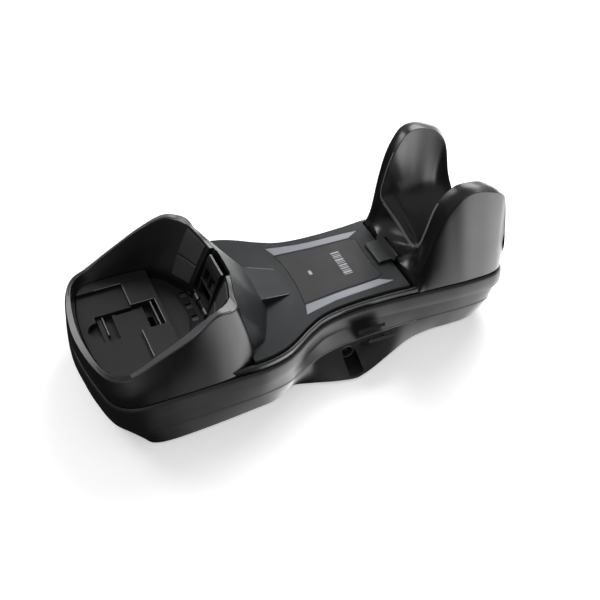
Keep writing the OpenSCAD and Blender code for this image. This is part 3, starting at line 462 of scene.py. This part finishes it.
# ---------------------------------------------------------------- cup
cb, cm, ro, ri, ci, cl = (ring(t, K) for t in (cup_base, cup_mid, rim_out, rim_in, cup_in, cup_low))
cb0 = atz(off(cb, -0.35), SEAM + 0.15)
rows = rows_through([cb0, atz(cb, SEAM + 0.6), cm, ro, ri, ci, atz(cl, 38), atz(cl, 32.2)],
                    [None, 0.3, None, 0.8, 0.7, None, None, None], 6)
v, f = grid_closed(rows, torus=True)
cup = new_obj("cup_shell", v, f, M_upper)
cut(cup, [box_vf((-64, -12.2, 37.8), (-38, 12.2, 77.8)), box_vf((-58.4, -12.2, 30.8), (-47.4, 12.2, 38.8))])
shade(cup, 30)
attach(cup, "housing"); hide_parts("upper_body")

# ---------------------------------------------------------------- frame round the waist
n_path = len(seam) // 2
half = seam[: n_path + 1]
nr = normals2(seam)[: n_path + 1]
keep = [i for i in range(len(half)) if -62 <= half[i][0] <= 60]
sec = [(-0.45, 31.9), (-0.1, 32.2), (-0.1, 34.6), (-0.25, 35.05), (-0.6, 35.3), (-1.9, 35.3), (-2.25, 35.1), (-2.4, 34.7), (-2.4, 31.9)]
for s, nm in ((1, "far"), (-1, "near")):
    path = [half[i] for i in keep]
    nn = [nr[i] for i in keep]
    sink = [1.6 * min(1.0, max(0.0, (-43.0 - p[0]) / 17.0)) for p in path]
    rws = [A([[p[0] + q[0] * (d - k), s * (p[1] + q[1] * (d - k)), z] for d, z in sec]) for p, q, k in zip(path, nn, sink)]
    v, f = grid_closed(rws, caps=(True, True))
    o = new_obj("waist_frame_" + nm, v, f, M_upper)
    shade(o, 50)
    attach(o, "housing")

# ---------------------------------------------------------------- saddle
yb, yo, yf, yi, ym, yk, yl = (ring(t, K) for t in (y_base, y_out, y_fm, y_in, y_mid, y_mid2, y_low))
rows = rows_through([atz(off(yb, -0.35), SEAM + 0.15), atz(yb, SEAM + 0.6), yo, yf, yi, ym, yk, yl],
                    [None, 0.3, 1.0, None, 0.6, None, None, None], 6)
v, f = grid_closed(rows, caps=(True, True))
saddle = new_obj("saddle_shell", v, f, M_upper)
cut(saddle, [box_vf((50, -9.5, 36.9), (61.4, 9.5, 40.9)), box_vf((50, -6.5, 31), (59.6, 6.5, 39))])
shade(saddle, 30)
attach(saddle, "housing")

# ---------------------------------------------------------------- pieces kept from the frame, with rounded edges
refined("top_cover", M_cover, "housing", 0.25)
refined("cup_floor", M_floor, "housing", 0.25)
refined("floor_slider", M_floor, "floor_catch", 0.25)
refined("label_panel", M_label, "housing", 0.2)
refined("light_bar_left", M_bar, "housing", 0.2)
refined("light_bar_right", M_bar, "housing", 0.2)
refined("lock_tab", M_tab, "lock", 0.3)
refined("tab_retainer", M_steel, "lock", 0.15)
refined("latch_lever", M_latch, "latch", 0.3)
refined("contact_block", M_black, "housing", 0.2)
for k in (1, 2, 3, 4):
    refined("contact_pad_%d" % k, M_contact, "contact_%d" % k, 0.25)
refined("port_cover", M_black, "housing", 0.2)
refined("rubber_feet", M_rubber, "housing", 0.3)
refined("power_jack", M_black, "housing", 0.15)
refined("data_jack", M_black, "housing", 0.2)
for n, m in (("latch_pin", M_steel), ("latch_spring", M_dark_steel), ("contact_board", M_board), ("main_board", M_board),
             ("radio_module", M_steel), ("processor", M_black), ("capacitors", M_can), ("indicator_leds", M_led),
             ("ribbon_cable", M_ribbon), ("ribbon_headers", M_header), ("antenna", M_ant), ("port_cover_screws", M_dark_steel),
             ("case_screws", M_steel), ("board_screws", M_steel), ("contact_screws", M_steel)):
    o = N[n]
    if o.material_slots:
        for sl in o.material_slots:
            sl.link = "OBJECT"
            sl.material = m
    else:
        o.data.materials.append(m)

# contact springs, copied in dark steel
for k in (1, 2, 3, 4):
    me = N["contact_spring_%d" % k].data.copy()
    o = bpy.data.objects.new("contact_spring_%d_coil" % k, me)
    bpy.context.scene.collection.objects.link(o)
    me.materials.clear()
    me.materials.append(M_dark_steel)
    shade(o, 50)
    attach(o, "housing")
    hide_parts("contact_spring_%d" % k)
    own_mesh(o)

# ---------------------------------------------------------------- small details
def strip(name, left, right_, lift, mat, sink=0.3, body="housing"):
    """Thin raised band between two lines of points."""
    left, right_ = A(left), A(right_)
    rws = []
    for i in range(len(left)):
        j0, j1 = max(i - 1, 0), min(i + 1, len(left) - 1)
        along = (left[j1] + right_[j1]) - (left[j0] + right_[j0])
        n = np.cross(along, right_[i] - left[i])
        n = n / np.linalg.norm(n)
        if n[2] < 0:
            n = -n
        e = right_[i] - left[i]
        e = e / np.linalg.norm(e) * min(lift, 0.3)
        rws.append(A([left[i] - n * sink, left[i] + n * lift * 0.3, left[i] + e + n * lift,
                      right_[i] - e + n * lift, right_[i] + n * lift * 0.3, right_[i] - n * sink]))
    o = new_obj(name, *grid_closed(rws, caps=(True, True)), mat)
    shade(o, 40)
    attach(o, body)
    return o


n_half = len(ro) // 2
# painted highlight: a lighter raised band along the top of the cup rim
for s, nm in ((1, "far"), (-1, "near")):
    pick = [i for i in range(n_half) if -106.4 <= ro[i][0] <= -50.4 and ro[i][1] > 36]
    lo_ = [ro[i] * [1, s, 1] + (ri[i] - ro[i]) * [1, s, 1] * 0.12 for i in pick]
    hi_ = [ro[i] * [1, s, 1] + (ri[i] - ro[i]) * [1, s, 1] * 0.86 for i in pick]
    strip("rim_painted_highlight_" + nm, lo_, hi_, 0.5, M_painted_highlight)
# step line on the nose, beside the start of the band
for s, nm in ((1, "far"), (-1, "near")):
    pick = [i for i in range(n_half) if -121.6 <= ro[i][0] <= -113.4 and ro[i][1] > 28]
    lo_ = [ro[i] * [1, s, 1] + (ri[i] - ro[i]) * [1, s, 1] * 0.55 for i in pick]
    hi_ = [ro[i] * [1, s, 1] + (ri[i] - ro[i]) * [1, s, 1] * 0.8 for i in pick]
    strip("nose_step_" + nm, lo_, hi_, 0.2, M_upper)
# painted highlight: a lighter raised strip along the inner edge of the saddle
n3 = len(yi) // 2
order = [i for i in range(n3, -1, -1) if yi[i][0] < 80 and yi[i][2] < 84]
far_i = order
saddle_highlight_lo = [yi[i] + (yf[i] - yi[i]) * 0.06 for i in far_i] + [yi[i] * [1, -1, 1] + (yf[i] - yi[i]) * [1, -1, 1] * 0.06 for i in far_i[::-1][1:]]
saddle_highlight_hi = [yi[i] + (yf[i] - yi[i]) * 0.30 for i in far_i] + [yi[i] * [1, -1, 1] + (yf[i] - yi[i]) * [1, -1, 1] * 0.30 for i in far_i[::-1][1:]]
strip("saddle_edge_highlight", saddle_highlight_lo, saddle_highlight_hi, 0.22, M_painted_edge_highlight)
# thin bead under the parting line and on top of the skirt, coloured lighter as a painted highlight
for s, nm in ((1, "far"), (-1, "near")):
    sk = ring(skirt_h, K)
    se = ring(seam_h, K)
    n2 = len(sk) // 2
    a_ = atz(off(sk, 0.28), 11.7)
    b_ = atz(off(sk, 0.05), 12.5)
    pick = [i for i in range(n2) if -20 <= sk[i][0] <= 60]
    strip("skirt_highlight_bead_" + nm, [a_[i] * [1, s, 1] for i in pick], [b_[i] * [1, s, 1] for i in pick], 0.22, M_painted_highlight)

# painted highlights along the edges of the cup floor, its ribs and the wedge
def line(name, a, b, w, mat, lift=0.07):
    a, b = A(a), A(b)
    d = b - a
    side = np.cross([0, 0, 1.0], d)
    side = side / np.linalg.norm(side) * w / 2
    mid = (a + b) / 2
    return strip(name, [a - side, mid - side, b - side], [a + side, mid + side, b + side], lift, mat, 0.1)


for i, (a, b, w) in enumerate((
        ((-90.0, 12.3, 40.4), (-90.0, 29.6, 40.4), 0.4), ((-105.5, 30.6, 40.6), (-90.4, 30.6, 40.6), 0.35),
        ((-90.0, -29.4, 40.4), (-90.0, -8.8, 40.4), 0.4), ((-76.95, -8.4, 40.4), (-76.95, 11.8, 40.4), 0.4),
        ((-89.6, 12.2, 40.4), (-77.4, 12.2, 40.4), 0.35), ((-106.45, -2.8, 37.8), (-106.45, 11.6, 37.8), 0.45),
        ((-79.7, -8.2, 39.6), (-79.7, 11.6, 39.6), 0.45))):
    line("floor_edge_highlight_%d" % i, a, b, w, M_painted_edge_highlight)
for s, nm in ((1, "far"), (-1, "near")):
    line("wedge_edge_highlight_" + nm, (-22.6, 13.75 * s, 41.6), (-8.2, 11.0 * s, 37.33), 0.4, M_painted_edge_highlight, 0.1)
# lighter raised panels on the rear wall of the cup, beside the latch: a painted reflection of light on that wall
for s, nm in ((1, "far"), (-1, "near")):
    pick = [i for i in range(n_half) if ri[i][0] > -58 and 14.6 <= ri[i][1] <= 31]
    cdn = atz(cl, 38)
    lo_ = [(ri[i] + (ci[i] - ri[i]) * 0.1) * [1, s, 1] for i in pick]
    hi_ = [(ri[i] + (ci[i] - ri[i]) * 0.96) * [1, s, 1] for i in pick]
    strip("guide_pad_top_" + nm, lo_, hi_, 0.45, M_painted_wall_sheen, 0.4)
    lo_ = [(ci[i] + (cdn[i] - ci[i]) * 0.02) * [1, s, 1] for i in pick]
    hi_ = [(ci[i] + (cdn[i] - ci[i]) * 0.8) * [1, s, 1] for i in pick]
    strip("guide_pad_low_" + nm, lo_, hi_, 0.45, M_painted_wall_sheen, 0.4)

# printed marks on the label: a code symbol and a battery, nothing that reads as text
LZ = 37.07
marks = []
widths = [1.1, 0.5, 0.8, 0.5, 1.4, 0.6, 0.5, 1.1, 0.5, 0.9, 0.6, 1.3, 0.5]
y_run = 11.0
for i, w in enumerate(widths):
    marks.append(prism([(26.5, y_run - w), (31.5, y_run - w), (31.5, y_run), (26.5, y_run)], 0, 0.06))
    y_run -= w + (0.7 if i % 3 else 1.0)


def ring_vf(cx, cy, r0, r1, z0, z1, n=48):
    v = []
    for (r, z) in ((r0, z0), (r1, z0), (r1, z1), (r0, z1)):
        v += [(cx + r * math.cos(2 * math.pi * k / n), cy + r * math.sin(2 * math.pi * k / n), z) for k in range(n)]
    f = []
    for j in range(4):
        j2 = (j + 1) % 4
        f += [(j * n + k, j * n + (k + 1) % n, j2 * n + (k + 1) % n, j2 * n + k) for k in range(n)]
    return v, f


marks.append(prism([(8.6, -1.2), (10.4, -1.2), (10.4, 1.8), (8.6, 1.8)], 0, 0.06))
marks.append(prism([(9.1, 1.9), (9.9, 1.9), (9.9, 2.5), (9.1, 2.5)], 0, 0.06))
for i, (v, f) in enumerate(marks):
    o = new_obj("label_mark_%02d" % i, [(p[0], p[1], p[2] + LZ) for p in v], f, M_mark)
    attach(o, "housing")

# ring round the power socket
# painted highlight: the socket ring takes the light rim colour, standing for light caught on the socket rim
v, f = cyl_vf((dc_x, -bay_y - 0.35, dc_z), (0, 1, 0), 4.3, 0.7, 56)
sock = new_obj("power_socket_ring", v, f, M_painted_highlight)
cut(sock, [cyl_vf((dc_x, -bay_y - 2, dc_z), (0, 1, 0), 3.55, 4, 56)])
shade(sock, 30)
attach(sock, "housing")

# ---------------------------------------------------------------- camera, light, floor
sc = bpy.context.scene
cam_data = bpy.data.cameras.new("camera")
cam = bpy.data.objects.new("camera", cam_data)
sc.collection.objects.link(cam)
th, el, roll = math.radians(23.36), math.radians(42.93), math.radians(-0.32)
fwd = Vector((math.sin(th) * math.cos(el), math.cos(th) * math.cos(el), -math.sin(el)))
right = Vector((math.cos(th), -math.sin(th), 0))
up = right.cross(fwd)
r2 = right * math.cos(roll) + up * math.sin(roll)
u2 = up * math.cos(roll) - right * math.sin(roll)
R = Matrix((r2, u2, -fwd)).transposed()
cam.matrix_world = Matrix.Translation(Vector((-0.1607, -0.387, 0.4113))) @ R.to_4x4()
cam_data.sensor_width = 36
cam_data.lens = 36 * 1017.2 / 600
cam_data.clip_start = 0.01
sc.camera = cam

world = bpy.data.worlds.new("studio")
sc.world = world
world.use_nodes = True
wt = world.node_tree
bg = wt.nodes["Background"]
wtc = wt.nodes.new("ShaderNodeTexCoord")
wsep = wt.nodes.new("ShaderNodeSeparateXYZ")
wt.links.new(wtc.outputs["Generated"], wsep.inputs[0])


def wmap(out, a, b, lo, hi):
    n = wt.nodes.new("ShaderNodeMapRange")
    n.interpolation_type = "SMOOTHSTEP"
    n.inputs["From Min"].default_value = a
    n.inputs["From Max"].default_value = b
    n.inputs["To Min"].default_value = lo
    n.inputs["To Max"].default_value = hi
    wt.links.new(out, n.inputs["Value"])
    return n.outputs["Result"]


def wmath(op, a, b):
    n = wt.nodes.new("ShaderNodeMath")
    n.operation = op
    for k, v in ((0, a), (1, b)):
        if isinstance(v, (int, float)):
            n.inputs[k].default_value = v
        else:
            wt.links.new(v, n.inputs[k])
    return n.outputs[0]


low_right = wmap(wsep.outputs["X"], 0.17, 0.48, 0.02, 4.2)
is_low = wmap(wsep.outputs["Z"], 0.05, -0.15, 0.0, 1.0)
upper = wmap(wsep.outputs["Z"], 0.0, 0.5, 0.16, 0.42)
low_part = wmath("MULTIPLY", low_right, is_low)
up_part = wmath("MULTIPLY", upper, wmath("SUBTRACT", 1.0, is_low))
strength = wmath("ADD", low_part, up_part)
bg.inputs[0].default_value = (1, 1, 1, 1)
wt.links.new(strength, bg.inputs[1])


def area(name, loc, target, size, power, sy=None):
    d = bpy.data.lights.new(name, "AREA")
    d.energy = power
    d.size = size
    if sy:
        d.shape = "RECTANGLE"
        d.size_y = sy
    o = bpy.data.objects.new(name, d)
    sc.collection.objects.link(o)
    o.location = loc
    o.rotation_euler = (Vector(target) - Vector(loc)).to_track_quat("-Z", "Y").to_euler()
    return o


area("back_left_light", (-0.7, 1.05, 0.8), (0, 0, 0.03), 0.6, 7)
area("back_right_light", (0.75, 0.75, 0.85), (0, 0, 0.03), 0.8, 13)
area("front_fill", (-0.7, -1.4, 1.9), (0, 0, 0.03), 1.0, 9)

fm = bpy.data.materials.new("pale_floor")
fm.use_nodes = True
fb = fm.node_tree.nodes["Principled BSDF"]
fb.inputs["Base Color"].default_value = (0.93, 0.93, 0.94, 1)
fb.inputs["Roughness"].default_value = 0.28
fb.inputs["Emission Color"].default_value = (1, 1, 1, 1)
fb.inputs["Emission Strength"].default_value = 0.36
fb.inputs["Specular IOR Level"].default_value = 0.35
v, f = prism([(-4000, -4000), (4000, -4000), (4000, 4000), (-4000, 4000)], -5, -0.02)
floor = new_obj("floor", v, f, fm)
floor.visible_glossy = False
sc.view_settings.view_transform = "Standard"
sc.view_settings.look = "None"
